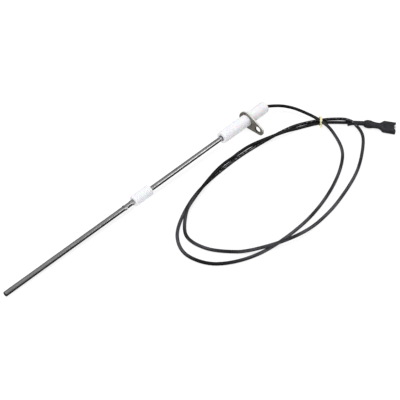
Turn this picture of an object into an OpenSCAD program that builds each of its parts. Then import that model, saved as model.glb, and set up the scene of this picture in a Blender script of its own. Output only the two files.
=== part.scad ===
// Flame sensor probe for a boiler or furnace burner.
// A metal flame rod runs through a ceramic insulator that is held by a screw-on bracket.
// A black lead leaves the insulator's rear end and ends in a push-on terminal.
// The probe lies on a flat surface, on the rod's tip and the lower edge of its bracket.
// Millimetres, +Z up, +X along the probe towards the lead. The origin is on the surface,
// under the middle of the probe without its lead.

/* [Flame rod] */
// Diameter of the flame rod
rod_d = 3.18; // [3:0.01:3.3]
// Distance from the rod's tip to the front face of the bracket
probe_reach = 211.2; // [205:0.1:215]
// Distance from the bracket to the pinch mark that nothing rests on
free_pinch = 116.2; // [115:0.1:122]
// How far each pinch mark squeezes the rod, top and bottom
pinch_depth = 0.45; // [0.2:0.05:0.6]

/* [Bead insulator] */
// Outer diameter of the small ceramic bead on the rod
bead_d = 7.4; // [6:0.1:8]
// Length of the bead
bead_len = 14.5; // [10:0.5:18]
// Distance from the bracket to the end of the bead nearer the tip
bead_front = 108.7; // [108:0.1:112]
// Diameter of the bead's hole, which runs on the rod
bead_bore = 3.36; // [3.34:0.01:3.6]

/* [Main insulator] */
// Outer diameter of the main ceramic insulator
ceramic_d = 8.6; // [8.2:0.1:9]
// Length of the insulator in front of the bracket
ceramic_front = 25.7; // [20:0.1:30]
// Length of the insulator behind the bracket's front face
ceramic_rear = 19.8; // [18:0.1:20]
// Diameter of the front hole that the rod passes through
rod_hole = 3.8; // [3.5:0.1:4.2]
// Diameter of the rear cavity that holds the splice
cavity_d = 6; // [5.6:0.1:6.2]

/* [Bracket] */
// Thickness of the bracket plate
plate_t = 1.2; // [1:0.1:1.6]
// Radius of the plate around the insulator
plate_r = 6.5; // [6.2:0.1:7.5]
// Radius of the plate's end beyond the screw hole
lobe_r = 3.7; // [3.4:0.1:4]
// Distance between the centres of those two radii
lobe_reach = 12.2; // [12:0.1:14]
// Diameter of the screw hole
screw_hole = 4.6; // [4:0.1:4.8]
// Distance from the insulator's centre to the screw hole's centre
screw_reach = 10.9; // [10.5:0.1:11.5]

/* [Lead] */
// Outer diameter of the lead's insulation
lead_d = 2.2; // [2:0.1:2.2]
// Diameter of one strand of the conductor
strand_d = 0.36; // [0.3:0.01:0.38]

/* [Terminal] */
// Width of the push-on receptacle
receptacle_w = 7.7; // [7.4:0.1:7.8]
// Height of the receptacle over its rolled sides
receptacle_h = 2.5; // [2.3:0.1:2.6]
// Thickness of the receptacle's sheet metal
sheet_t = 0.4; // [0.35:0.01:0.42]
// Gap that the mating tab slides into
tab_gap = 0.9; // [0.85:0.01:1]
// Outer diameter of the heat-shrink sleeve behind the boot
sleeve_d = 3.3; // [3:0.1:3.4]

/* [Tie] */
// Width of the tie round the lead's three strands
tie_w = 1.7; // [1.4:0.1:2]
// Thickness of the tie's strip
tie_t = 0.3; // [0.2:0.05:0.35]

/* [Hidden] */
$fn = 96;

rod_r = rod_d / 2;
lead_r = lead_d / 2;
// The rod's tip and the bracket's flank both touch the surface, which tilts the probe
tilt = atan((plate_r - rod_r) / probe_reach);
// Angle between the plate's long axis and its straight flanks
flank = asin((plate_r - lobe_r) / lobe_reach);
bracket_x = (probe_reach - ceramic_rear) / 2 * cos(tilt);
bracket_y = (lobe_reach * cos(flank) + lobe_r - plate_r) / 2;
bracket_z = plate_r * cos(tilt);

// Stations along the probe, from the bracket's front face
tip_round = 0.5;
cavity_x = -4;
ferrule_x = 0.2;
rod_end_x = 5;
ferrule_end_x = 12;
lead_x = 13;
cement_x = 14.2;
mouth_recess = 0.4;
groove_w = 0.5;
pinch_w = 4.3;
pinch_t = 1.2;
bead_pinch = bead_front + 1.35;

// How far the lead hangs below the probe's axis inside the rear cavity and at its mouth
lead_sag_in = 0.2;
lead_sag_out = 0.3;

// A point of the probe's own frame: x from the bracket, z from the axis
function on_probe(x, z) = [
    bracket_x + x * cos(tilt) - z * sin(tilt),
    bracket_y,
    bracket_z + x * sin(tilt) + z * cos(tilt)
];

// The terminal boot points down this heading, and dips to rest on its front edge
boot_pos = [153, -54.9, 2.98];
boot_heading = -58;
boot_dip = 2.8;
function on_boot(x) = boot_pos + x * [
    cos(boot_dip) * cos(boot_heading),
    cos(boot_dip) * sin(boot_heading),
    -sin(boot_dip)
];
sleeve_pos = [147.4, -45.4, 1.7];
sleeve_run = boot_pos - sleeve_pos;
sleeve_in = 0.8;

// Stations along the boot, from its rear end
crimp_x = 1.5;
barrel_x = 7.2;
neck_x = 12;
box_x = 14.3;
box_end_x = 22.5;
lead_end_x = 6.8;
strands_end_x = 12.4;

// The strands are pressed into each other a little
strand_pitch = strand_d - 0.02;
conductor_r = strand_pitch + strand_d / 2;

// The lead's route: out of the insulator, through the tie, twice round the loop, to the boot
ROUTE = [
    on_probe(lead_x, -lead_sag_in), on_probe(ceramic_rear, -lead_sag_out),
    [121.2, 2.7, 5.6], [128, -3.4, 4.8], [132.5, -13.4, 4.1], [133.8, -31.3, 3.8], [131.2, -45.2, 1.9],
    [117.6, -63.3, 1], [87.8, -77.4, 1], [50.8, -84.5, 1], [12, -81.7, 1], [-12.9, -68.9, 1],
    [-20.8, -50.8, 1], [-13.8, -35.2, 1], [4.3, -23.8, 1], [28.3, -16.2, 1], [60.3, -13.6, 1],
    [88.2, -15, 1], [118.2, -19.8, 1], [136.8, -29.9, 1.5], [144.7, -38, 2.5], [146.7, -45.4, 4.6],
    [146.8, -52.2, 4.1], [141.2, -63.3, 1], [112.7, -79.4, 1], [80.4, -88.2, 1], [56.6, -90.6, 1],
    [35.2, -89.2, 3.3], [15.2, -81.3, 3.35], [1.6, -70, 1], [-8.8, -54.8, 1], [-9.5, -38.9, 1],
    [3.4, -26.2, 2.5], [16.3, -20.9, 3.35], [40.3, -14.5, 3.35], [53.3, -12.5, 3.3], [65.3, -11, 1.15],
    [73.1, -10.95, 1.4], [83.1, -13.75, 3.5], [105.2, -19.9, 3.35], [118.3, -23.3, 1.2], [134.7, -31.95, 1.4],
    sleeve_pos, boot_pos, on_boot(lead_end_x)
];
route_end = len(ROUTE) - 1;

// Catmull-Rom curve through the route, kept at least the lead's radius above the surface
function before(i) = i > 0 ? ROUTE[i - 1] : 2 * ROUTE[0] - ROUTE[1];
function after(i) = i < route_end ? ROUTE[i + 1] : 2 * ROUTE[route_end] - ROUTE[route_end - 1];
function curve(p, q, r, s, t) = (
    2 * q + (r - p) * t + (2 * p - 5 * q + 4 * r - s) * t * t
    + (3 * q - p - 3 * r + s) * t * t * t
) / 2;
function lift(p) = [p[0], p[1], max(p[2], lead_r)];
function route_at(i, t) = lift(curve(before(i), ROUTE[i], ROUTE[i + 1], after(i + 1), t));
// One ring at each route point, and one more halfway along each longer stretch
long_stretch = 12;
function stretch(i) = norm(ROUTE[i + 1] - ROUTE[i]);
PATH = concat(
    [for (i = [0:route_end - 1]) for (t = stretch(i) > long_stretch ? [0, 0.5] : [0]) route_at(i, t)],
    [ROUTE[route_end]]
);
path_end = len(PATH) - 1;

function unit(v) = v / norm(v);
function heading_at(i) = unit(PATH[min(i + 1, path_end)] - PATH[max(i - 1, 0)]);
function side_of(d) = unit(cross([0, 0, 1], d));

// Points of a ring of n sides and radius r round point p, square to direction d
lead_sides = 8;
function ring(p, d, r, n) = let(u = side_of(d), v = cross(d, u))
    [for (k = [0:n - 1]) p + r * (cos(360 * k / n) * u + sin(360 * k / n) * v)];
function lead_ring(i) = ring(PATH[i], heading_at(i), lead_r, lead_sides);

// Closed skin over a list of rings that all have the same number of points
module skin(rings) {
    n = len(rings[0]);
    m = len(rings);
    sides = [
        for (j = [0:m - 2]) for (k = [0:n - 1])
            [j * n + k, (j + 1) * n + k, (j + 1) * n + (k + 1) % n, j * n + (k + 1) % n]
    ];
    first = [for (k = [0:n - 1]) k];
    last = [for (k = [n - 1:-1:0]) (m - 1) * n + k];
    polyhedron(points = [for (ring = rings) each ring], faces = concat(sides, [first], [last]));
}

// Round-cornered section of the boot: x station, width, height and squareness
boot_sides = 28;
function bow(v, e) = sign(v) * pow(abs(v), 2 / e);
function boot_ring(x, w, h, e) = [
    for (k = [0:boot_sides - 1]) let(a = 360 * k / boot_sides)
        [x, w / 2 * bow(cos(a), e), h / 2 * bow(sin(a), e)]
];
boot_wall = 0.7;
BOOT = [
    [0, 3.8, 3.8, 2], [0.7, 4.5, 4.5, 2], [1.8, 5.4, 5.3, 2.2], [3.3, 5.7, 5.6, 2.2],
    [5, 5.5, 5.3, 2.2], [6.6, 4.9, 4.6, 2], [8, 4.6, 4.3, 2], [10.4, 4.8, 4, 2],
    [11.6, 6, 3.8, 2.4], [13.4, 9.6, 3.8, 4], [14.2, 10.4, 3.8, 5], [22.3, 10.6, 3.8, 5]
];
// The boot's mouth is scooped, so that its corners reach further than its middle
scoop_r = 7.4;
scoop_x = 21;

// Rotates a shape made along Z so that it lies along X
module along_x() {
    rotate([0, 90, 0]) children();
}

// Puts a shape of the probe's own frame in its place
module on_surface() {
    translate([bracket_x, bracket_y, bracket_z]) rotate([0, -tilt, 0]) children();
}

// Puts a shape of the boot's own frame in its place
module at_boot() {
    translate(boot_pos) rotate([0, 0, boot_heading]) rotate([0, boot_dip, 0]) children();
}

// A round bar from station x0 to x1
module bar(x0, x1, r) {
    translate([x0, 0, 0]) along_x() cylinder(r = r, h = x1 - x0);
}

// Flat ears that a pinch raises on both sides of the rod
module pinch_ears(x) {
    ear_r = 1.95;
    for (side = [-1, 1]) translate([x, side * (pinch_w / 2 - ear_r), -pinch_t / 2])
        cylinder(r = ear_r, h = pinch_t);
}

// Hollow that the pinching tool leaves, above (side 1) or below (side -1)
module pinch_hollow(x, side) {
    tool_r = 2.6;
    translate([x, 0, side * (rod_r + tool_r - pinch_depth)])
        rotate([90, 0, 0]) cylinder(r = tool_r, h = 2 * rod_d, center = true);
}

// Metal rod with a deburred tip and two pinch marks
module electrode_rod() {
    color("#a3a3a6") on_surface() difference() {
        union() {
            bar(tip_round - probe_reach, rod_end_x, rod_r);
            translate([-probe_reach, 0, 0]) along_x()
                cylinder(r1 = rod_r - tip_round, r2 = rod_r, h = tip_round);
            for (x = [free_pinch, bead_pinch]) pinch_ears(-x);
        }
        for (x = [free_pinch, bead_pinch], side = [-1, 1]) pinch_hollow(-x, side);
    }
}

// Ceramic tube with softened end edges, along X from 0
module ceramic_tube(len, r, bore_r, soft) {
    along_x() rotate_extrude() polygon([
        [bore_r, 0], [r - soft, 0], [r - soft * 0.3, soft * 0.3], [r, soft],
        [r, len - soft], [r - soft * 0.3, len - soft * 0.3], [r - soft, len], [bore_r, len]
    ]);
}

// Small ceramic bead that rides on the rod
module bead_insulator() {
    color("#f4f3fa") on_surface() translate([-bead_front, 0, 0])
        ceramic_tube(bead_len, bead_d / 2, bead_bore / 2, 0.8);
}

// Long ceramic insulator with its rear cavity
module main_insulator() {
    color("#f2f1f9") on_surface() difference() {
        translate([-ceramic_front, 0, 0])
            ceramic_tube(ceramic_front + ceramic_rear, ceramic_d / 2, rod_hole / 2, 0.8);
        bar(cavity_x, ceramic_rear + 1, cavity_d / 2);
        seat_groove();
    }
}

// Shallow groove round the insulator, just in front of the bracket
module seat_groove() {
    difference() {
        bar(-groove_w, 0, ceramic_d / 2 + 1);
        bar(-groove_w - 1, 1, ceramic_d / 2 - 0.2);
    }
}

// Pear-shaped blank of the bracket, round end at the origin and lobe along +X.
// The straight flanks run a hair inside the tangents, so that they cross both circles.
module bracket_blank() {
    hair = 0.02;
    big = (plate_r - hair) * [sin(flank), cos(flank)];
    small = [lobe_reach, 0] + (lobe_r - hair) * [sin(flank), cos(flank)];
    cylinder(r = plate_r, h = plate_t);
    translate([lobe_reach, 0, 0]) cylinder(r = lobe_r, h = plate_t);
    linear_extrude(plate_t)
        polygon([big, [big[0], -big[1]], [small[0], -small[1]], small]);
}

// Stamped plate, staked tight on the insulator at three punch notches
module mounting_bracket() {
    seat_r = ceramic_d / 2;
    notch_r = 0.7;
    color("#8f8e86") on_surface() along_x() rotate([0, 0, flank - 90]) difference() {
        bracket_blank();
        translate([0, 0, -1]) cylinder(r = seat_r, h = plate_t + 2);
        translate([screw_reach, 0, -1]) cylinder(d = screw_hole, h = plate_t + 2);
        for (turn = [0, 120, 240]) rotate([0, 0, turn]) translate([seat_r + notch_r / 2, 0, -1])
            cylinder(r = notch_r, h = plate_t + 2, $fn = 32);
    }
}

// Metal ferrule that joins the rod to the lead's strands inside the insulator
module splice_ferrule() {
    barrel_r = 2.35;
    crimp_r = 1.5;
    color("#c9a24b") on_surface() translate([ferrule_x, 0, 0]) along_x() rotate_extrude() polygon([
        [rod_r, 0], [barrel_r, 0], [barrel_r, 5.8], [crimp_r, 7], [crimp_r, 11.3],
        [crimp_r + 0.3, ferrule_end_x - ferrule_x], [conductor_r, ferrule_end_x - ferrule_x],
        [conductor_r, rod_end_x - ferrule_x], [rod_r, rod_end_x - ferrule_x]
    ]);
}

// Cement ring that holds the rod at the bottom of the rear cavity
module rod_cement() {
    color("#d9d4c8") on_surface() difference() {
        bar(cavity_x, ferrule_x, cavity_d / 2);
        bar(cavity_x - 1, ferrule_x + 1, rod_r);
    }
}

// Cement plug that closes the rear cavity round the lead
module rear_cement() {
    color("#d9d4c8") difference() {
        on_surface() bar(cement_x, ceramic_rear - mouth_recess, cavity_d / 2);
        skin([for (i = [0:3]) lead_ring(i)]);
    }
}

// Seven pressed strands of the conductor, from station x0 to x1
module strands(x0, x1) {
    bar(x0, x1, strand_d / 2, $fn = 16);
    for (k = [0:5]) translate([0, strand_pitch * cos(60 * k), strand_pitch * sin(60 * k)])
        bar(x0, x1, strand_d / 2, $fn = 16);
}

module splice_strands() {
    color("#b87333") on_surface() strands(rod_end_x, lead_x);
}

// The whole lead from the splice to the terminal
module lead_insulation() {
    color("#202124") skin([for (i = [0:path_end]) lead_ring(i)]);
}

// The tie's strip in its own frame, as sideways position, height and width: once round the strands
tie_pos = [135.1, -30.7, 0];
tie_heading = -46;
STRIP = [
    [-3.75, 2.5, 1.3], [-3.6, 3.6, 1.4], [-3, 4.9, 1.5], [-1.5, 5.7, 1.6], [0.5, 5.5, 1.6],
    [2.2, 4.4, 1.5], [3.2, 2.9, 1.6], [3.3, 1.3, 1.7], [2.6, 0.4, 1.8], [1.9, 0.2, 1.9],
    [-1.9, 0.2, 1.9], [-3.1, 0.45, 1.7], [-3.85, 1.2, 1.5], [-4.05, 2.05, 1.3]
];
strip_end = len(STRIP) - 1;
function strip_ring(p, d, w, x) = let(n = tie_t / 2 * [-d[1], d[0]], h = w / 2 * tie_w / 1.7) [
    [x - h, p[0] - n[0], p[1] - n[1]], [x - h, p[0] + n[0], p[1] + n[1]],
    [x + h, p[0] + n[0], p[1] + n[1]], [x + h, p[0] - n[0], p[1] - n[1]]
];
function strip_at(i) = let(p = STRIP[i], q = STRIP[min(i + 1, strip_end)] - STRIP[max(i - 1, 0)])
    strip_ring([p[0], p[1]], unit([q[0], q[1]]), p[2], 0);

// Cream paper strip round the bundle, its two ends twisted together and spread
module wire_tie() {
    away = unit([-1, -0.4]);
    color("#e9dfa8") translate(tie_pos) rotate([0, 0, tie_heading]) {
        skin([for (i = [0:strip_end]) strip_at(i)]);
        translate([0, -3.7, 2.3]) rotate([110, 0, 0]) cylinder(r = 0.5, h = 1.4, $fn = 16);
        for (side = [-1, 1]) skin([
            strip_ring([-4.85, 1.85 + side * 0.08], away, 0.8, side * 0.1),
            strip_ring([-5.9, 1.45 + side * 0.3], away, 1.1, side * 0.5)
        ]);
    }
}

// Heat-shrink sleeve over the lead, from its rear end into the boot's mouth
module heat_shrink_sleeve() {
    run = unit(sleeve_run);
    dip = unit(on_boot(1) - boot_pos);
    mitre = unit(run + dip);
    stops = [[sleeve_pos, run], [boot_pos, mitre], [on_boot(sleeve_in), dip]];
    hole = [[sleeve_pos - run, run], [boot_pos, mitre], [on_boot(sleeve_in + 1), dip]];
    color("#26272a") difference() {
        skin([for (s = stops) ring(s[0], s[1], sleeve_d / 2, 24)]);
        skin([for (s = hole) ring(s[0], s[1], lead_r, 24)]);
    }
}

// Insulating boot over the whole terminal, open at the front
module terminal_boot() {
    roof = 0.55;
    color("#1d1e21") at_boot() difference() {
        skin([for (s = BOOT) boot_ring(s[0], s[1], s[2], s[3])]);
        skin(concat(
            [boot_ring(-0.5, sleeve_d, sleeve_d, 2), boot_ring(sleeve_in, sleeve_d, sleeve_d, 2)],
            [for (s = BOOT) if (s[0] > 1) boot_ring(
                s[0] < 20 ? s[0] : 23.5, s[1] - 2 * boot_wall, s[2] - 2 * roof, s[3]
            )]
        ));
        translate([scoop_x + scoop_r, 0, 0]) cylinder(r = scoop_r, h = 8, center = true);
    }
}

// Bare strands in the terminal's crimp barrel
module terminal_strands() {
    color("#b87333") at_boot() strands(lead_end_x + 0.1, strands_end_x);
}

// Section of the receptacle: flat floor with both sides rolled over to grip a tab
module receptacle_section() {
    roll_r = (receptacle_h - sheet_t) / 2;
    translate([-receptacle_w / 2 + roll_r, -receptacle_h / 2]) square([receptacle_w - 2 * roll_r, sheet_t]);
    for (side = [-1, 1]) translate([side * (receptacle_w / 2 - roll_r), roll_r - receptacle_h / 2])
        difference() {
            circle(roll_r);
            circle(roll_r - sheet_t);
            translate([side < 0 ? 0 : -2 * roll_r, sheet_t - roll_r]) square([2 * roll_r, tab_gap]);
        }
}

// Push-on receptacle with its wire barrel and its insulation grip
module terminal_receptacle() {
    floor_z = -receptacle_h / 2;
    barrel_r = 1.3;
    grip_r = 1.75;
    neck_w = 1.6;
    color("#c9c6bd") at_boot() difference() {
        union() {
            translate([box_x, 0, 0]) rotate([90, 0, 90])
                linear_extrude(box_end_x - box_x) receptacle_section();
            translate([0, 0, floor_z]) linear_extrude(sheet_t) polygon([
                [crimp_x + 2, -neck_w / 2], [neck_x, -neck_w / 2], [box_x + 0.5, -2.6],
                [box_x + 0.5, 2.6], [neck_x, neck_w / 2], [crimp_x + 2, neck_w / 2]
            ]);
            bar(barrel_x, neck_x, barrel_r);
            bar(crimp_x, lead_end_x - 0.6, grip_r);
        }
        bar(lead_end_x - 1, strands_end_x + 1, conductor_r);
        bar(crimp_x - 1, lead_end_x, lead_r);
        translate([box_x + 3.5, 0, floor_z - 1]) cylinder(r = 0.9, h = sheet_t + 2, $fn = 32);
    }
}

electrode_rod();
bead_insulator();
main_insulator();
mounting_bracket();
splice_ferrule();
rod_cement();
rear_cement();
splice_strands();
lead_insulation();
wire_tie();
heat_shrink_sleeve();
terminal_boot();
terminal_strands();
terminal_receptacle();
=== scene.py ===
"""Looks of the flame sensor probe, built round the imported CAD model.

Sizes are written in millimetres, as in part.scad, and every mesh is scaled to metres when it is placed.
"""
import math

import bmesh
import bpy
from mathutils import Matrix, Vector


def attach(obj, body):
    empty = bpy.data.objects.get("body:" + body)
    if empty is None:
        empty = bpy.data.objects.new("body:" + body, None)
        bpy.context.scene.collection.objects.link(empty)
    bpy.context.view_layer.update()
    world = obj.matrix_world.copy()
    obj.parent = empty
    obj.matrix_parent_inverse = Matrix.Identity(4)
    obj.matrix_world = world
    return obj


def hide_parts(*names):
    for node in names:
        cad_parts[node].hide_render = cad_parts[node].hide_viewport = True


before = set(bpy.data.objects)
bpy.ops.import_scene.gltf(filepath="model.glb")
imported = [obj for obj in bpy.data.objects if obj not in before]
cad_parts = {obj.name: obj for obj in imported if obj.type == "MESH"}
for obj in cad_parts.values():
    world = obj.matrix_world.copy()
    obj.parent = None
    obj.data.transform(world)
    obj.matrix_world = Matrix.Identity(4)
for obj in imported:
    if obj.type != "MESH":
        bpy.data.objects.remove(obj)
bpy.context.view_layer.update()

MM = 0.001

# Sizes shared with part.scad: rod and pinches
ROD_R = 1.59
REACH = 211.2
FREE_PINCH = 116.2
ROD_END = 5.0
PINCH_R = 2.6
PINCH_DEPTH = 0.45
PINCH_REACH = 2.0
PINCH_CROWN = 0.08
EAR_R = 1.95
EAR_OUT = 0.2
EAR_HALF = 0.62
# Bead and main insulator; the main one has a groove where it meets the bracket
BEAD_FRONT = 108.7
BEAD_LEN = 14.5
BEAD_R = 3.7
BEAD_BORE_R = 1.68
BEAD_PINCH = BEAD_FRONT + 1.35
CERAMIC_R = 4.3
CERAMIC_FRONT = 25.7
CERAMIC_REAR = 19.8
ROD_HOLE_R = 1.9
CAVITY_R = 3.0
CAVITY_X = -4.0
CERAMIC_SOFT = 0.8
GROOVE_W = 0.5
GROOVE_DEPTH = 0.2
# Bracket
PLATE_T = 1.2
PLATE_R = 6.5
LOBE_R = 3.7
LOBE_REACH = 12.2
SCREW_R = 2.3
SCREW_REACH = 10.9
NOTCH_R = 0.7
NOTCHES = 3
# Lead; it leaves the rear cavity lower than it starts
LEAD_R = 1.1
SAG_IN = 0.2
SAG_OUT = 0.3
LEAD_LEN = 0.842
LEAD_X = 13.0
# Sleeve, boot and tie; nothing on the lead goes lower than LOWEST over the table
SLEEVE_R = 1.65
SLEEVE_IN = 0.8
LOWEST = 0.03
BOOT_POS = Vector((153, -54.9, 2.98))
BOOT_HEADING = math.radians(-58)
BOOT_DIP = math.radians(2.8)
BOOT_LEAD_END = 6.8
SLEEVE_POS = Vector((147.4, -45.4, 1.7))
TIE_POS = Vector((135.1, -30.7, 0))
TIE_HEADING = math.radians(-46)

TILT = math.atan((PLATE_R - ROD_R) / REACH)
FLANK = math.asin((PLATE_R - LOBE_R) / LOBE_REACH)
BRACKET = Vector((
    (REACH - CERAMIC_REAR) / 2 * math.cos(TILT),
    (LOBE_REACH * math.cos(FLANK) + LOBE_R - PLATE_R) / 2,
    PLATE_R * math.cos(TILT),
))

# Frames of the probe, the boot and the tie: each turns local millimetres into row millimetres
PROBE = Matrix.Translation(BRACKET) @ Matrix.Rotation(-TILT, 4, "Y")
BOOT_TURN = Matrix.Rotation(BOOT_HEADING, 4, "Z") @ Matrix.Rotation(BOOT_DIP, 4, "Y")
BOOT = Matrix.Translation(BOOT_POS) @ BOOT_TURN
TIE = Matrix.Translation(TIE_POS) @ Matrix.Rotation(TIE_HEADING, 4, "Z")


# ---------------------------------------------------------------- camera

def make_camera():
    """Camera 44 degrees above the table, off the rod's tip and on the lead's side."""
    data = bpy.data.cameras.new("camera")
    data.sensor_width = 36
    data.lens = 79.7
    data.clip_start = 0.01
    data.clip_end = 20
    cam = bpy.data.objects.new("camera", data)
    bpy.context.collection.objects.link(cam)
    cam.location = (-0.2779, -0.3038, 0.3960)
    aim = Vector((0.0202, -0.0224, 0)) - cam.location
    cam.rotation_mode = "QUATERNION"
    cam.rotation_quaternion = aim.to_track_quat("-Z", "Y")
    bpy.context.scene.camera = cam


make_camera()


# ---------------------------------------------------------------- mesh helpers

def new_object(name, verts, faces, place=None):
    """A smooth-shaded mesh object from local millimetres."""
    mesh = bpy.data.meshes.new(name)
    mesh.from_pydata([tuple(v) for v in verts], [], faces)
    mesh.transform(Matrix.Scale(MM, 4) @ (place or Matrix.Identity(4)))
    mesh.validate()
    obj = bpy.data.objects.new(name, mesh)
    bpy.context.collection.objects.link(obj)
    tidy_normals(obj)
    return obj


def tidy_normals(obj):
    """Merges doubled points, turns every face outwards and keeps edges over 35 degrees sharp."""
    work = bmesh.new()
    work.from_mesh(obj.data)
    bmesh.ops.remove_doubles(work, verts=work.verts, dist=1e-7)
    bmesh.ops.recalc_face_normals(work, faces=work.faces)
    for face in work.faces:
        face.smooth = True
    limit = math.radians(35)
    for edge in work.edges:
        edge.smooth = edge.calc_face_angle(0) < limit
    work.to_mesh(obj.data)
    work.free()


def loft_faces(rings, sides, loop):
    """Quads between neighbouring rings, and a face over each end unless the rings form a loop."""
    faces = []
    last = rings if loop else rings - 1
    for j in range(last):
        a = j * sides
        b = (j + 1) % rings * sides
        for k in range(sides):
            n = (k + 1) % sides
            faces.append((a + k, b + k, b + n, a + n))
    if not loop:
        faces.append(tuple(range(sides)))
        faces.append(tuple(reversed(range((rings - 1) * sides, rings * sides))))
    return faces


def loft(name, rings, place=None, loop=False):
    """A skin over rings of points; with loop, the last ring joins the first."""
    verts = [p for ring in rings for p in ring]
    return new_object(name, verts, loft_faces(len(rings), len(rings[0]), loop), place)


def lathe(name, profile, sides, place=None):
    """A closed (x, r) profile turned round the local X axis."""
    rings = []
    for x, r in profile:
        turns = [math.tau * k / sides for k in range(sides)]
        rings.append([Vector((x, r * math.cos(a), r * math.sin(a))) for a in turns])
    return loft(name, rings, place, loop=True)


def fillet(x, r, size, start, steps=6):
    """Points of a quarter round about (x, r), from angle start in degrees, turning back 90."""
    out = []
    for i in range(steps + 1):
        a = math.radians(start - 90 * i / steps)
        out.append((x + size * math.cos(a), r + size * math.sin(a)))
    return out


def catmull(p, q, r, s, t):
    """Catmull-Rom point between q and r, at t from 0 to 1."""
    return (2 * q + (r - p) * t + (2 * p - 5 * q + 4 * r - s) * t * t
            + (3 * q - p - 3 * r + s) * t ** 3) / 2


def spread(points, steps):
    """Catmull-Rom points through a list of vectors, steps to a stretch."""
    ends = [2 * points[0] - points[1], *points, 2 * points[-1] - points[-2]]
    out = []
    for i in range(len(points) - 1):
        out += [catmull(*ends[i:i + 4], k / steps) for k in range(steps)]
    return out + [points[-1]]


def probe_local(point):
    """Millimetres along the probe from the metres of a mesh."""
    return (Matrix.Scale(MM, 4) @ PROBE).inverted() @ point


def own(obj, body, slot, material, *nodes):
    """Rides a piece on its body, gives it its material, and hides what it stands for; slot is not used."""
    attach(obj, body)
    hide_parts(*nodes)
    obj.data.materials.clear()
    obj.data.materials.append(material)


# ---------------------------------------------------------------- material helpers

class Nodes:
    """A new node material with its Principled shader and short ways to add to it."""

    def __init__(self, name):
        self.material = bpy.data.materials.new(name)
        self.material.use_nodes = True
        self.tree = self.material.node_tree
        self.shader = self.tree.nodes["Principled BSDF"]
        self.coords = self.add("ShaderNodeTexCoord")

    def add(self, kind, **values):
        """A new node with its settings."""
        node = self.tree.nodes.new(kind)
        for key, value in values.items():
            setattr(node, key, value)
        return node

    def link(self, source, target):
        self.tree.links.new(source, target)

    def set(self, **values):
        """Sets inputs of the shader by their names in small letters."""
        for key, value in values.items():
            self.shader.inputs[key.replace("_", " ").title().replace("Ior", "IOR")].default_value = value

    def stretched(self, scale, turn=(0, 0, 0), uv=False):
        """Texture coordinates in metres, scaled along each axis."""
        mapping = self.add("ShaderNodeMapping")
        mapping.inputs["Scale"].default_value = scale
        mapping.inputs["Rotation"].default_value = turn
        self.link(self.coords.outputs["UV" if uv else "Object"], mapping.inputs["Vector"])
        return mapping.outputs["Vector"]

    def noise(self, vector, detail=3.0, rough=0.5):
        """Soft noise from 0 to 1; how fine it is comes from the stretched coordinates."""
        node = self.add("ShaderNodeTexNoise")
        node.inputs["Scale"].default_value = 1.0
        node.inputs["Detail"].default_value = detail
        node.inputs["Roughness"].default_value = rough
        self.link(vector, node.inputs["Vector"])
        return node.outputs["Fac"]

    def span(self, value, low, high, start=0.3, end=0.7):
        """Maps a texture value from start..end to low..high."""
        node = self.add("ShaderNodeMapRange")
        node.inputs["From Min"].default_value = start
        node.inputs["From Max"].default_value = end
        node.inputs["To Min"].default_value = low
        node.inputs["To Max"].default_value = high
        self.link(value, node.inputs["Value"])
        return node.outputs["Result"]

    def ramp(self, value, stops):
        """Colours at positions along a texture value."""
        node = self.add("ShaderNodeValToRGB")
        band = node.color_ramp
        while len(band.elements) < len(stops):
            band.elements.new(0.5)
        for element, (position, colour) in zip(band.elements, stops):
            element.position = position
            element.color = (*colour, 1)
        self.link(value, node.inputs["Fac"])
        return node.outputs["Color"]

    def mix(self, factor, a, b, kind="MIX"):
        """Mixes two colours; each is a socket or three numbers, and factor a socket or a number."""
        node = self.add("ShaderNodeMix", data_type="RGBA", blend_type=kind)
        for index, value in ((0, factor), (6, a), (7, b)):
            socket = node.inputs[index]
            if isinstance(value, bpy.types.NodeSocket):
                self.link(value, socket)
            else:
                socket.default_value = value if index == 0 else (*value, 1)
        return node.outputs[2]

    def bump(self, height, distance, strength):
        """Normal roughened by a height; distance is in metres."""
        node = self.add("ShaderNodeBump")
        node.inputs["Distance"].default_value = distance
        node.inputs["Strength"].default_value = strength
        self.link(height, node.inputs["Height"])
        return node.outputs["Normal"]

    def colour(self, socket):
        self.link(socket, self.shader.inputs["Base Color"])

    def roughness(self, socket):
        self.link(socket, self.shader.inputs["Roughness"])

    def normal(self, socket):
        self.link(socket, self.shader.inputs["Normal"])


# ---------------------------------------------------------------- materials

def rod_metal():
    """Drawn heat-resisting alloy: fine lines along the rod and faint blotches."""
    m = Nodes("rod_metal")
    m.set(metallic=1.0, roughness=0.26)
    lines = m.noise(m.stretched((40, 9000, 9000)), detail=4, rough=0.65)
    blotch = m.noise(m.stretched((90, 260, 260)), detail=3)
    tint = m.ramp(blotch, [(0.3, (0.46, 0.455, 0.46)), (0.7, (0.6, 0.6, 0.61))])
    m.colour(m.mix(m.span(lines, 0.0, 0.35), tint, (0.36, 0.35, 0.35)))
    m.roughness(m.span(lines, 0.2, 0.36))
    m.normal(m.bump(lines, 0.00003, 0.6))
    return m.material


def ceramic_white():
    """Dense white ceramic under a thin satin glaze, with faint extrusion lines and pores."""
    m = Nodes("ceramic_white")
    m.set(roughness=0.5, specular_ior_level=0.2, subsurface_weight=0.2, subsurface_scale=0.0008)
    lines = m.noise(m.stretched((60, 2200, 2200)), detail=3, rough=0.6)
    cloud = m.noise(m.stretched((160, 220, 220)), detail=4)
    pores = m.noise(m.stretched((5200, 5200, 5200)), detail=1)
    white = m.ramp(cloud, [(0.25, (0.9, 0.89, 0.93)), (0.75, (0.945, 0.94, 0.97))])
    m.colour(m.mix(m.span(pores, 0.12, 0.0, 0.24, 0.32), white, (0.7, 0.68, 0.66)))
    m.roughness(m.span(cloud, 0.42, 0.58))
    m.normal(m.bump(lines, 0.00004, 0.5))
    return m.material


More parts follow.
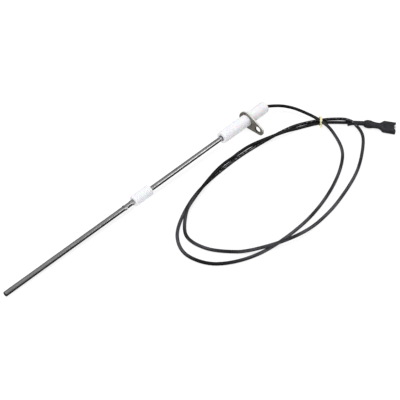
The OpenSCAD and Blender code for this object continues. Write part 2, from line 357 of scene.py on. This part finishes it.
def plated_steel():
    """Dull plated face of the stamped bracket, mottled and lightly scuffed."""
    m = Nodes("plated_steel")
    m.set(metallic=0.45, roughness=0.42)
    mottle = m.noise(m.stretched((700, 700, 700)), detail=5, rough=0.6)
    scuff = m.noise(m.stretched((900, 5200, 900), turn=(0.5, 0, 0)), detail=3)
    tone = m.ramp(mottle, [(0.3, (0.2, 0.19, 0.155)), (0.7, (0.29, 0.275, 0.23))])
    m.colour(m.mix(m.span(scuff, 0.0, 0.5, 0.58, 0.72), tone, (0.45, 0.43, 0.38)))
    m.roughness(m.span(mottle, 0.34, 0.5))
    m.normal(m.bump(mottle, 0.00003, 0.4))
    return m.material


def sheared_edge_highlight():
    """Sheared edge of the bracket: bare steel, lighter than the plated faces, with its near-white tone a
    painted highlight, and the lines that the punch leaves across it.
    """
    m = Nodes("sheared_edge_highlight")
    m.set(metallic=0.25, roughness=0.4)
    lines = m.noise(m.stretched((300, 7000, 7000)), detail=3)
    m.colour(m.ramp(lines, [(0.3, (0.8, 0.79, 0.75)), (0.7, (0.93, 0.92, 0.9))]))
    m.roughness(m.span(lines, 0.24, 0.42))
    m.normal(m.bump(lines, 0.00003, 0.5))
    return m.material


def lead_vinyl():
    """Black extruded insulation, painted grey along some stretches as sheen where the strands catch the
    light, with worn illegible print on one.
    """
    m = Nodes("lead_vinyl")
    m.set(roughness=0.34, specular_ior_level=0.22)
    place = m.add("ShaderNodeSeparateXYZ")
    m.link(m.stretched((1 / LEAD_LEN, 1, 1), uv=True), place.inputs[0])
    black = (0.007, 0.007, 0.008)
    grey = (0.075, 0.073, 0.083)
    # Painted sheen: the grey stretches, broken up by dark patches, stand for the light caught along those
    # strands.
    along = m.ramp(place.outputs["X"], [
        (0.05, black), (0.08, grey), (0.25, grey), (0.265, black), (0.285, black),
        (0.3, grey), (0.34, grey), (0.37, black), (0.52, black), (0.57, grey),
        (0.72, grey), (0.735, black), (0.75, grey), (0.8, grey), (0.82, black),
    ])
    patches = m.noise(m.stretched((55, 3, 1), uv=True))
    tone = m.mix(m.span(patches, 0.0, 0.85, 0.42, 0.6), along, (0.012, 0.012, 0.014))
    off, on = (0, 0, 0), (1, 1, 1)
    printed = m.ramp(place.outputs["X"], [(0.33, off), (0.35, on), (0.53, on), (0.54, off)])
    line = m.ramp(place.outputs["Y"], [(0.25, off), (0.28, on), (0.38, on), (0.41, off)])
    marks = m.span(m.noise(m.stretched((600, 9, 1), uv=True), detail=2), 0.0, 0.6, 0.53, 0.62)
    worn = m.mix(1.0, m.mix(1.0, printed, line, "MULTIPLY"), marks, "MULTIPLY")
    m.colour(m.mix(worn, tone, (0.38, 0.38, 0.42)))
    m.roughness(m.span(patches, 0.26, 0.42))
    grain = m.noise(m.stretched((4200, 4200, 4200)), detail=3)
    m.normal(m.bump(grain, 0.00003, 0.35))
    return m.material


def boot_vinyl():
    """Soft moulded black vinyl with a fine matt grain."""
    m = Nodes("boot_vinyl")
    m.set(roughness=0.45, specular_ior_level=0.32)
    grain = m.noise(m.stretched((5200, 5200, 5200)), detail=4, rough=0.6)
    cloud = m.noise(m.stretched((260, 260, 260)), detail=3)
    m.colour(m.ramp(cloud, [(0.3, (0.013, 0.0135, 0.016)), (0.7, (0.034, 0.035, 0.041))]))
    m.roughness(m.span(cloud, 0.36, 0.52))
    m.normal(m.bump(grain, 0.00004, 0.5))
    return m.material


def sleeve_plastic():
    """Shrunk tubing: satin black, drawn tight in rings."""
    m = Nodes("sleeve_plastic")
    m.set(roughness=0.36, specular_ior_level=0.32)
    rings = m.noise(m.stretched((500, 500, 500)), detail=4)
    m.colour(m.ramp(rings, [(0.3, (0.014, 0.0145, 0.017)), (0.7, (0.038, 0.039, 0.045))]))
    m.normal(m.bump(rings, 0.00006, 0.5))
    return m.material


def tie_paper():
    """Cream paper strip with fibres along it."""
    m = Nodes("tie_paper")
    m.set(roughness=0.62, subsurface_weight=0.15, subsurface_scale=0.0005)
    fibres = m.noise(m.stretched((2600, 900, 900)), detail=5, rough=0.65)
    cream = [(0.25, (0.7, 0.6, 0.3)), (0.55, (0.86, 0.8, 0.5)), (0.8, (0.92, 0.88, 0.64))]
    m.colour(m.ramp(fibres, cream))
    m.normal(m.bump(fibres, 0.00005, 0.6))
    return m.material


def plain_metal(name, dark, light, rough):
    """Small metal parts: a mottled metal between two tones."""
    m = Nodes(name)
    m.set(metallic=1.0, roughness=rough)
    mottle = m.noise(m.stretched((1500, 1500, 1500)), detail=4)
    m.colour(m.ramp(mottle, [(0.3, dark), (0.7, light)]))
    m.roughness(m.span(mottle, rough - 0.06, rough + 0.1))
    m.normal(m.bump(mottle, 0.00002, 0.4))
    return m.material


def cement_grey():
    """Rough refractory cement."""
    m = Nodes("cement_grey")
    m.set(roughness=0.85)
    grit = m.noise(m.stretched((2600, 2600, 2600)), detail=6, rough=0.7)
    m.colour(m.ramp(grit, [(0.3, (0.5, 0.47, 0.41)), (0.7, (0.8, 0.77, 0.7))]))
    m.normal(m.bump(grit, 0.0001, 0.8))
    return m.material


# ---------------------------------------------------------------- lead

def on_probe(x, z):
    """A point in the probe's middle plane, in row millimetres."""
    return PROBE @ Vector((x, 0, z))


def on_boot(x):
    """A point on the boot's axis, in row millimetres."""
    return BOOT @ Vector((x, 0, 0))


# The lead's route in row millimetres, as in part.scad
ROUTE = [on_probe(LEAD_X, -SAG_IN), on_probe(CERAMIC_REAR, -SAG_OUT)] + [Vector(p) for p in (
    (121.2, 2.7, 5.6), (128, -3.4, 4.8), (132.5, -13.4, 4.1), (133.8, -31.3, 3.8), (131.2, -45.2, 1.9),
    (117.6, -63.3, 1), (87.8, -77.4, 1), (50.8, -84.5, 1), (12, -81.7, 1), (-12.9, -68.9, 1),
    (-20.8, -50.8, 1), (-13.8, -35.2, 1), (4.3, -23.8, 1), (28.3, -16.2, 1), (60.3, -13.6, 1),
    (88.2, -15, 1), (118.2, -19.8, 1), (136.8, -29.9, 1.5), (144.7, -38, 2.5), (146.7, -45.4, 4.6),
    (146.8, -52.2, 4.1), (141.2, -63.3, 1), (112.7, -79.4, 1), (80.4, -88.2, 1), (56.6, -90.6, 1),
    (35.2, -89.2, 3.3), (15.2, -81.3, 3.35), (1.6, -70, 1), (-8.8, -54.8, 1), (-9.5, -38.9, 1),
    (3.4, -26.2, 2.5), (16.3, -20.9, 3.35), (40.3, -14.5, 3.35), (53.3, -12.5, 3.3), (65.3, -11, 1.15),
    (73.1, -10.95, 1.4), (83.1, -13.75, 3.5), (105.2, -19.9, 3.35), (118.3, -23.3, 1.2),
    (134.7, -31.95, 1.4),
)] + [SLEEVE_POS, BOOT_POS, on_boot(BOOT_LEAD_END)]


def lifted(p):
    """The point, raised where the lead would sink into the table."""
    return Vector((p.x, p.y, max(p.z, LEAD_R)))


def evenly(points, gap):
    """Points about gap apart along a dense line."""
    out = [points[0]]
    run = 0.0
    for a, b in zip(points, points[1:]):
        step = (b - a).length
        while run + step >= gap:
            a = a.lerp(b, (gap - run) / step)
            step = (b - a).length
            out.append(a)
            run = 0.0
        run += step
    out[-1] = points[-1]
    return out


def frames_along(points):
    """Points of a nearly level line, each with its side and up directions."""
    out = []
    for i, p in enumerate(points):
        d = (points[min(i + 1, len(points) - 1)] - points[max(i - 1, 0)]).normalized()
        u = Vector((0, 0, 1)).cross(d).normalized()
        out.append((p, u, d.cross(u)))
    return out


def around(u, v, sides):
    """Directions round a line, turning from u towards v."""
    return [math.cos(a) * u + math.sin(a) * v for a in (math.tau * k / sides for k in range(sides))]


def tube(name, points, r, sides):
    """A round tube of row-millimetre points, with UVs of length along and turn round it."""
    rings = [[p + r * way for way in around(u, v, sides)] for p, u, v in frames_along(points)]
    obj = loft(name, rings)
    add_tube_uvs(obj, points, sides)
    return obj


def add_tube_uvs(obj, points, sides):
    """U runs along in metres and V once round; a face keeps to one side of the seam."""
    reach = [0.0]
    for a, b in zip(points, points[1:]):
        reach.append(reach[-1] + (b - a).length * MM)
    layer = obj.data.uv_layers.new(name="UVMap")
    for poly in obj.data.polygons:
        turns = [obj.data.loops[i].vertex_index % sides / sides for i in poly.loop_indices]
        wraps = max(turns) - min(turns) > 0.5
        for i, turn in zip(poly.loop_indices, turns):
            ring = obj.data.loops[i].vertex_index // sides
            layer.data[i].uv = (reach[ring], turn + 1 if wraps and turn < 0.5 else turn)


def make_lead():
    """The lead's skin, and its line in metres."""
    dense = [lifted(p) for p in spread(ROUTE, 40)]
    points = evenly(dense, 1.5)
    lead = tube("lead", points, LEAD_R, 18)
    own(lead, "probe", "lead_black", lead_vinyl(), "lead_insulation")
    return lead, [p * MM for p in dense]


# ---------------------------------------------------------------- rod

def pinched(p, dx):
    """Moves a point of the rod's skin for a pinch dx away along the rod: flatter there, and wider."""
    depth = PINCH_DEPTH - (PINCH_R - math.sqrt(max(PINCH_R ** 2 - dx ** 2, 0)))
    if depth > 0:
        top = ROD_R - depth
        over = abs(p.z) - top
        if over > 0:
            p.z = math.copysign(top + PINCH_CROWN * over, p.z)
    ear = math.sqrt(max(EAR_R ** 2 - dx ** 2, 0)) + EAR_OUT - ROD_R
    if ear > 0:
        swell = ear * math.exp(-(p.z / EAR_HALF) ** 4)
        p.y += math.copysign(swell, p.y) * min(1, abs(p.y) / ROD_R * 1.2)
    return p


def rod_stations():
    """Stations along the rod as (x, radius): a rounded tip, and close steps at the pinches."""
    soft = 0.5
    tip = [(-REACH + soft * (1 - math.cos(a)), ROD_R - soft * (1 - math.sin(a)))
           for a in (i * math.pi / 12 for i in range(7))]
    xs = [ROD_END - 5 * i for i in range(42)]
    for centre in (-FREE_PINCH, -BEAD_PINCH):
        xs = [x for x in xs if abs(x - centre) > 2.4]
        xs += [centre + 0.12 * i for i in range(-17, 18)]
    flat_end = (-REACH, 0.6)
    return [flat_end] + tip + [(x, ROD_R) for x in sorted(xs)]


def make_rod():
    """The flame rod, pinched at two places."""
    sides = 72
    rings = []
    for x, r in rod_stations():
        ring = []
        for k in range(sides):
            a = math.tau * k / sides
            p = Vector((x, r * math.cos(a), r * math.sin(a)))
            for centre in (-FREE_PINCH, -BEAD_PINCH):
                if abs(x - centre) < PINCH_REACH:
                    p = pinched(p, x - centre)
            ring.append(p)
        rings.append(ring)
    rod = loft("flame_rod", rings, PROBE)
    own(rod, "probe", "rod_steel", rod_metal(), "electrode_rod")


# ---------------------------------------------------------------- ceramics

def tube_profile(x0, x1, r, bore, soft, lip):
    """Closed (x, r) profile of a ceramic tube with rounded outer edges and eased bore edges."""
    out = [(x0, bore + lip)]
    out += fillet(x0 + soft, r - soft, soft, 180)
    out += fillet(x1 - soft, r - soft, soft, 90)
    out += [(x1, bore + lip), (x1 - lip, bore), (x0 + lip, bore)]
    return out


def make_bead():
    """The small bead that slides on the rod."""
    rear = -BEAD_FRONT + BEAD_LEN
    profile = tube_profile(-BEAD_FRONT, rear, BEAD_R, BEAD_BORE_R, soft=0.75, lip=0.12)
    bead = lathe("ceramic_bead", profile, 96, PROBE)
    own(bead, "bead", "white_ceramic", ceramic_white(), "bead_insulator")


def ceramic_profile():
    """Closed (x, r) profile: body, groove before the bracket, rear cavity and rod hole."""
    soft = CERAMIC_SOFT
    front_lip = 0.2
    rear_lip = 0.15
    groove_r = CERAMIC_R - GROOVE_DEPTH
    return [
        (-CERAMIC_FRONT, ROD_HOLE_R + front_lip),
        *fillet(-CERAMIC_FRONT + soft, CERAMIC_R - soft, soft, 180),
        (-GROOVE_W, CERAMIC_R), (-GROOVE_W, groove_r), (0, groove_r), (0, CERAMIC_R), (PLATE_T, CERAMIC_R),
        *fillet(CERAMIC_REAR - soft, CERAMIC_R - soft, soft, 90),
        (CERAMIC_REAR, CAVITY_R + rear_lip), (CERAMIC_REAR - rear_lip, CAVITY_R), (CAVITY_X, CAVITY_R),
        (CAVITY_X, ROD_HOLE_R), (-CERAMIC_FRONT + front_lip, ROD_HOLE_R),
    ]


def make_main_ceramic():
    """Main insulator, with painted shade in the bore round the rod and on its seat behind the bracket's
    notches.
    """
    insulator = lathe("ceramic_insulator", ceramic_profile(), 112, PROBE)
    own(insulator, "probe", "white_ceramic", ceramic_white(), "main_insulator")
    # Painted shade: a dark material stands for the shadow in the bore round the rod and inside the
    # bracket's notches.
    painted_shade = plain_metal("seat_and_bore_painted_shade", (0.02, 0.018, 0.015), (0.05, 0.045, 0.04), 0.7)
    insulator.data.materials.append(painted_shade)
    in_hole = ROD_HOLE_R + 0.15
    for face in insulator.data.polygons:
        centre = probe_local(face.center)
        r = math.hypot(centre.y, centre.z)
        on_seat = 0 < centre.x < PLATE_T and r > CERAMIC_R - 0.1
        if on_seat or r < in_hole:
            face.material_index = 1


# ---------------------------------------------------------------- bracket

def round_points(cx, r, start, end, steps):
    """Points of an arc about (cx, 0), from start to end in degrees, end left out."""
    turns = [math.radians(start + (end - start) * i / steps) for i in range(steps)]
    return [(cx + r * math.cos(a), r * math.sin(a)) for a in turns]


def bracket_outline():
    """Pear shape, round end at the origin and lobe along +X."""
    side = 90 - math.degrees(FLANK)
    return round_points(LOBE_REACH, LOBE_R, -side, side, 28) + \
        [(LOBE_REACH + LOBE_R * math.sin(FLANK), LOBE_R * math.cos(FLANK))] + \
        round_points(0, PLATE_R, side, 360 - side, 56) + \
        [(PLATE_R * math.sin(FLANK), -PLATE_R * math.cos(FLANK))]


def seat_outline():
    """Hole for the insulator with three punch notches, one towards the lobe."""
    steps = 120
    pitch = steps // NOTCHES
    off = CERAMIC_R + NOTCH_R / 2
    out = []
    for i in range(steps):
        a = math.tau * i / steps
        from_notch = math.tau * min(i % pitch, pitch - i % pitch) / steps
        across = off * math.sin(from_notch)
        r = CERAMIC_R
        if across < NOTCH_R:
            r = max(r, off * math.cos(from_notch) + math.sqrt(NOTCH_R ** 2 - across ** 2))
        out.append((r * math.cos(a), r * math.sin(a)))
    return out


def flat_plate(name, outlines, thick, bevel, place):
    """A plate with holes from closed outlines, its edges rounded by bevel."""
    data = bpy.data.curves.new(name, "CURVE")
    data.dimensions = "2D"
    data.fill_mode = "BOTH"
    data.extrude = thick / 2 - bevel
    data.bevel_depth = bevel
    data.bevel_resolution = 3
    data.offset = -bevel
    for outline in outlines:
        spline = data.splines.new("POLY")
        spline.points.add(len(outline) - 1)
        spline.use_cyclic_u = True
        for point, (x, y) in zip(spline.points, outline):
            point.co = (x, y, 0, 1)
    drawn = bpy.data.objects.new(name + "_outline", data)
    bpy.context.collection.objects.link(drawn)
    graph = bpy.context.evaluated_depsgraph_get()
    mesh = bpy.data.meshes.new_from_object(drawn.evaluated_get(graph))
    bpy.data.objects.remove(drawn)
    mesh.transform(Matrix.Scale(MM, 4) @ place)
    obj = bpy.data.objects.new(name, mesh)
    bpy.context.collection.objects.link(obj)
    tidy_normals(obj)
    return obj


def make_bracket():
    """The stamped plate: dull faces, an outer edge of lighter bare steel with a painted highlight, and
    painted shade on the walls of its two holes.
    """
    hole = round_points(SCREW_REACH, SCREW_R, 0, 360, 48)
    turn = Matrix.Rotation(math.pi / 2, 4, "Y") @ Matrix.Rotation(FLANK - math.pi / 2, 4, "Z")
    place = PROBE @ turn @ Matrix.Translation((0, 0, PLATE_T / 2))
    outlines = [bracket_outline(), seat_outline(), hole]
    plate = flat_plate("bracket_plate", outlines, PLATE_T, 0.12, place)
    own(plate, "probe", "plated_steel", plated_steel(), "mounting_bracket")
    plate.data.materials.append(sheared_edge_highlight())
    # Painted shade: the walls of the seat and screw holes get a dark material for the shadow in them.
    hole_wall_shade = plain_metal("hole_wall_painted_shade", (0.05, 0.047, 0.04), (0.12, 0.11, 0.09), 0.6)
    plate.data.materials.append(hole_wall_shade)
    along = (PROBE.to_3x3() @ Vector((1, 0, 0))).normalized()
    screw = -SCREW_REACH * Vector((math.cos(FLANK), math.sin(FLANK)))
    seat_wall = CERAMIC_R + 1.3
    screw_wall = SCREW_R + 0.3
    # Sheared faces: the outer edge gets bare steel with its painted highlight, and the walls of both holes
    # get painted shade.
    for face in plate.data.polygons:
        if abs(face.normal.dot(along)) < 0.9:
            centre = probe_local(face.center)
            in_seat = math.hypot(centre.y, centre.z) < seat_wall
            in_screw_hole = (Vector((centre.y, centre.z)) - screw).length < screw_wall
            face.material_index = 2 if in_seat or in_screw_hole else 1


# ---------------------------------------------------------------- tie

# The strip in the tie's frame: sideways, height and width
STRIP = [(-3.75, 2.5, 1.3), (-3.6, 3.6, 1.4), (-3, 4.9, 1.5), (-1.5, 5.7, 1.6), (0.5, 5.5, 1.6),
         (2.2, 4.4, 1.5), (3.2, 2.9, 1.6), (3.3, 1.3, 1.7), (2.6, 0.4, 1.8), (1.9, 0.2, 1.9),
         (-1.9, 0.2, 1.9), (-3.1, 0.45, 1.7), (-3.85, 1.2, 1.5), (-4.05, 2.05, 1.3)]
STRIP_T = 0.3
# Where the twist starts beside the strands, and the strip's width in it
TWIST_Y = -3.7
TWIST_Z = 2.3
TWIST_W = 0.75


def strip_section(centre, across, out, width):
    """Section of the strip: flat wings and a rib over the wire in its middle."""
    half = width / 2
    wire = 0.16
    top = [(-half, 0.07), (-wire * 1.6, 0.08), (-wire, STRIP_T / 2)]
    top += [(-a, b) for a, b in reversed(top)]
    shape = [(-half, -0.07), *top, *[(a, -b) for a, b in reversed(top[1:])]]
    return [centre + across * a + out * b for a, b in shape]


def strip_rings(points, twist=0.0):
    """Rings of the strip along points that carry its width in the first place."""
    rings = []
    for i, p in enumerate(points):
        ahead = points[min(i + 1, len(points) - 1)] - points[max(i - 1, 0)]
        d = Vector((0, ahead.y, ahead.z)).normalized()
        across = Vector((1, 0, 0))
        out = d.cross(across)
        turn = Matrix.Rotation(twist * i / (len(points) - 1), 3, d)
        rings.append(strip_section(Vector((0, p.y, p.z)), turn @ across, turn @ out, p.x))
    return rings


def make_tie():
    """The tie: its strip round the strands, and its two ends twisted together and splayed."""
    loop_points = spread([Vector((w, y, z)) for y, z, w in STRIP], 6)
    pieces = [loft("paper_tie", strip_rings(loop_points), TIE)]
    runs = [i * 1.5 / 14 for i in range(15)]
    knot = [Vector((TWIST_W, TWIST_Y - 0.94 * t, TWIST_Z - 0.34 * t)) for t in runs]
    for side in (-1, 1):
        pieces.append(loft("knot", strip_rings(knot, side * 3.6 + 1.2), TIE))
        pieces.append(loft("tail", tail_rings(side), TIE))
    tie = join(pieces)
    own(tie, "probe", "tie_paper", tie_paper(), "wire_tie")
    return tie


def tail_rings(side):
    """One end of the tie, leaning sideways and curling a little."""
    rings = []
    for i in range(9):
        t = i / 8
        height = 1.85 - 0.4 * t + side * (0.08 + 0.22 * t * t)
        centre = Vector((side * (0.1 + 0.45 * t), -4.85 - 1.1 * t, height))
        d = Vector((side * 0.35, -1, -0.4)).normalized()
        across = d.cross(Vector((0, 0, 1))).normalized()
        rings.append(strip_section(centre, across, across.cross(d), 0.8 + 0.35 * t))
    return rings


def join(pieces):
    """One object from several, named as the first."""
    work = bmesh.new()
    for piece in pieces:
        work.from_mesh(piece.data)
    work.to_mesh(pieces[0].data)
    work.free()
    for piece in pieces[1:]:
        bpy.data.objects.remove(piece)
    return pieces[0]


# ---------------------------------------------------------------- sleeve and boot

def make_sleeve():
    """Shrunk tube over the lead, with a lip at one side of its rear end, and kinked into the boot."""
    lip_side = Vector((-0.73, -0.68, 0))
    line = [SLEEVE_POS, SLEEVE_POS.lerp(BOOT_POS, 0.5), BOOT_POS, on_boot(SLEEVE_IN)]
    frames = frames_along(evenly(spread(line, 24), 0.35))
    sides = 40
    rings = []
    for i, (p, u, v) in enumerate(frames):
        t = i / (len(frames) - 1)
        r = SLEEVE_R * min(1.0, 0.72 + t * 9) * (1 + 0.012 * math.sin(t * 31) - 0.012)
        lip = SLEEVE_R * max(0.0, 0.75 - t * 2.4)
        ring = [p + way * (r + lip * max(0.0, way.dot(lip_side))) for way in around(u, v, sides)]
        rings.append([Vector((q.x, q.y, max(q.z, LOWEST))) for q in ring])
    for p, u, v in reversed(frames):
        rings.append([p + LEAD_R * way for way in around(u, v, sides)])
    sleeve = loft("heat_shrink", rings, loop=True)
    own(sleeve, "probe", "sleeve_black", sleeve_plastic(), "heat_shrink_sleeve")
    return sleeve


# Outer sections of the boot: station, width, height and squareness
BOOT_OUTER = [(0, 3.8, 3.8, 2), (0.7, 4.5, 4.5, 2), (1.8, 5.4, 5.3, 2.2), (3.3, 5.7, 5.6, 2.2),
              (5, 5.5, 5.3, 2.2), (6.6, 4.9, 4.6, 2), (8, 4.6, 4.3, 2), (10.4, 4.8, 4, 2),
              (11.6, 6, 3.8, 2.4), (13.4, 9.6, 3.8, 4), (14.2, 10.4, 3.8, 5), (17, 10.5, 3.8, 5),
              (22.3, 10.6, 3.8, 5)]
# The mouth is scooped: its lip runs back to SCOOP_X in the middle, on an arc of radius SCOOP_R
SCOOP_FROM = 17.0
SCOOP_R = 7.4
SCOOP_X = 21.0
BOOT_WALL = 0.7
BOOT_ROOF = 0.55
# The inner skin follows the outer one between these stations
INNER_FROM = 1.5
INNER_TO = 21.8


def boot_ring(x, w, h, e, sides=96):
    """One section of the boot: a superellipse of width w and height h with squareness e."""
    ring = []
    for k in range(sides):
        a = math.tau * k / sides
        c, s = math.cos(a), math.sin(a)
        y = w / 2 * math.copysign(abs(c) ** (2 / e), c)
        z = h / 2 * math.copysign(abs(s) ** (2 / e), s)
        ring.append(Vector((x, y, z)))
    return ring


def boot_sections():
    """Smoothly spread outer sections, kept level over the flat front."""
    steps = 5
    out = []
    for i in range(len(BOOT_OUTER) - 1):
        a = BOOT_OUTER[max(i - 1, 0)]
        b, c = BOOT_OUTER[i], BOOT_OUTER[i + 1]
        d = BOOT_OUTER[min(i + 2, len(BOOT_OUTER) - 1)]
        for k in range(steps):
            t = k / steps
            x = b[0] + (c[0] - b[0]) * t
            out.append((x, *(slope_mix(a, b, c, d, j, t) for j in (1, 2, 3))))
    return out + [BOOT_OUTER[-1]]


def slope_mix(a, b, c, d, j, t):
    """Cubic between b and c in column j, with slopes over uneven stations; level if they match."""
    width = c[0] - b[0]
    m0 = (c[j] - a[j]) / (c[0] - a[0]) * width
    m1 = (d[j] - b[j]) / (d[0] - b[0]) * width
    if abs(b[j] - c[j]) < 0.15:
        m0 = 0.0
        m1 = 0.0
    return ((2 * t ** 3 - 3 * t * t + 1) * b[j] + (t ** 3 - 2 * t * t + t) * m0
            + (-2 * t ** 3 + 3 * t * t) * c[j] + (t ** 3 - t * t) * m1)


def scooped(ring):
    """Pulls a ring near the mouth back along the scoop, most in the middle."""
    end = BOOT_OUTER[-1][0]
    for p in ring:
        if p.x > SCOOP_FROM:
            mouth = min(end, SCOOP_X + SCOOP_R - math.sqrt(SCOOP_R ** 2 - p.y ** 2))
            p.x = SCOOP_FROM + (p.x - SCOOP_FROM) * (mouth - SCOOP_FROM) / (end - SCOOP_FROM)
    return ring


def make_boot():
    """Moulded boot: outer skin, rounded lip, then the inner skin back to the sleeve."""
    outer = boot_sections()
    x, w, h, e = outer[0]
    rings = [boot_ring(x + 0.12, w - 0.2, h - 0.2, e)]
    rings += [boot_ring(*section) for section in outer[1:-1]]
    x, w, h, e = outer[-1]
    lip = 0.25
    for a in (math.pi * step / 6 for step in range(7)):
        out = lip * (math.sin(a) - 1)
        inwards = 1 - math.cos(a)
        rings.append(boot_ring(x + out, w - BOOT_WALL * inwards, h - BOOT_ROOF * inwards, e))
    for x, w, h, e in reversed(outer):
        if INNER_FROM < x < INNER_TO:
            rings.append(boot_ring(x, w - 2 * BOOT_WALL, h - 2 * BOOT_ROOF, e))
    for x in (SLEEVE_IN, 0.0):
        rings.append(boot_ring(x, 2 * SLEEVE_R, 2 * SLEEVE_R, 2))
    boot = loft("boot", [scooped(ring) for ring in rings], BOOT, loop=True)
    own(boot, "probe", "boot_black", boot_vinyl(), "terminal_boot")
    return boot


# ---------------------------------------------------------------- stage

def make_light(name, place, aim, size, power, mirrored=True):
    """A square area light; one that isn't mirrored leaves no highlight."""
    data = bpy.data.lights.new(name, "AREA")
    data.shape = "SQUARE"
    data.size = size
    data.energy = power
    light = bpy.data.objects.new(name, data)
    bpy.context.collection.objects.link(light)
    light.location = place
    light.rotation_mode = "QUATERNION"
    light.rotation_quaternion = (Vector(aim) - Vector(place)).to_track_quat("-Z", "Y")
    light.visible_glossy = mirrored


def make_world():
    """Grey studio, darker towards the floor, which the metal parts mirror."""
    world = bpy.data.worlds.new("studio")
    bpy.context.scene.world = world
    world.use_nodes = True
    tree = world.node_tree
    coords = tree.nodes.new("ShaderNodeTexCoord")
    split = tree.nodes.new("ShaderNodeSeparateXYZ")
    height = tree.nodes.new("ShaderNodeMapRange")
    height.inputs["From Min"].default_value = -1
    ramp = tree.nodes.new("ShaderNodeValToRGB")
    tree.links.new(coords.outputs["Generated"], split.inputs[0])
    tree.links.new(split.outputs["Z"], height.inputs["Value"])
    tree.links.new(height.outputs["Result"], ramp.inputs["Fac"])
    stops = ((0.0, 0.02), (0.48, 0.02), (0.56, 0.22), (0.78, 0.3), (1.0, 0.5))
    while len(ramp.color_ramp.elements) < len(stops):
        ramp.color_ramp.elements.new(0.5)
    for element, (place, value) in zip(ramp.color_ramp.elements, stops):
        element.position = place
        element.color = (value, value, value, 1)
    back = tree.nodes["Background"]
    tree.links.new(ramp.outputs["Color"], back.inputs["Color"])
    back.inputs["Strength"].default_value = 1.0


def make_floor():
    """White table, a hair below the parts, which don't mirror it and so keep dark lower edges."""
    far = 15000
    hair = 0.00005
    corners = [(-far, -far, 0), (far, -far, 0), (far, far, 0), (-far, far, 0)]
    floor = new_object("floor", corners, [(0, 1, 2, 3)])
    floor.location.z = -hair
    floor.visible_glossy = False
    m = Nodes("floor_white")
    m.set(roughness=0.9, base_color=(0.28, 0.28, 0.28, 1), specular_ior_level=0.0)
    m.set(emission_color=(1, 1, 1, 1), emission_strength=0.8)
    floor.data.materials.append(m.material)


def dress_cad(node, material):
    """Gives a carried-over CAD piece its material."""
    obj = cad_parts[node]
    obj.data.materials.clear()
    obj.data.materials.append(material)


lead, lead_line = make_lead()
make_rod()
make_bead()
make_main_ceramic()
make_bracket()
tie = make_tie()
sleeve = make_sleeve()
boot = make_boot()

copper = plain_metal("bare_copper", (0.5, 0.24, 0.12), (0.72, 0.4, 0.24), 0.35)
dress_cad("splice_strands", copper)
dress_cad("terminal_strands", copper)
dress_cad("splice_ferrule", plain_metal("ferrule_brass", (0.55, 0.42, 0.2), (0.72, 0.58, 0.3), 0.32))
tin = plain_metal("tinned_brass", (0.86, 0.85, 0.82), (0.97, 0.96, 0.94), 0.35)
tin.node_tree.nodes["Principled BSDF"].inputs["Metallic"].default_value = 0.2
dress_cad("terminal_receptacle", tin)
cement = cement_grey()
dress_cad("rod_cement", cement)
dress_cad("rear_cement", cement)

make_world()
make_floor()
make_light("overhead", (-0.05, 0.25, 1.1), (0.03, -0.03, 0), 1.0, 8.4, mirrored=False)
make_light("front", (-0.85, -0.4, 0.45), (0.03, -0.03, 0), 0.7, 3.5, mirrored=False)
make_light("card", (0.25, -0.29, 0.25), (0.03, 0, 0), 0.16, 0.25)
bpy.context.scene.view_settings.view_transform = "Standard"
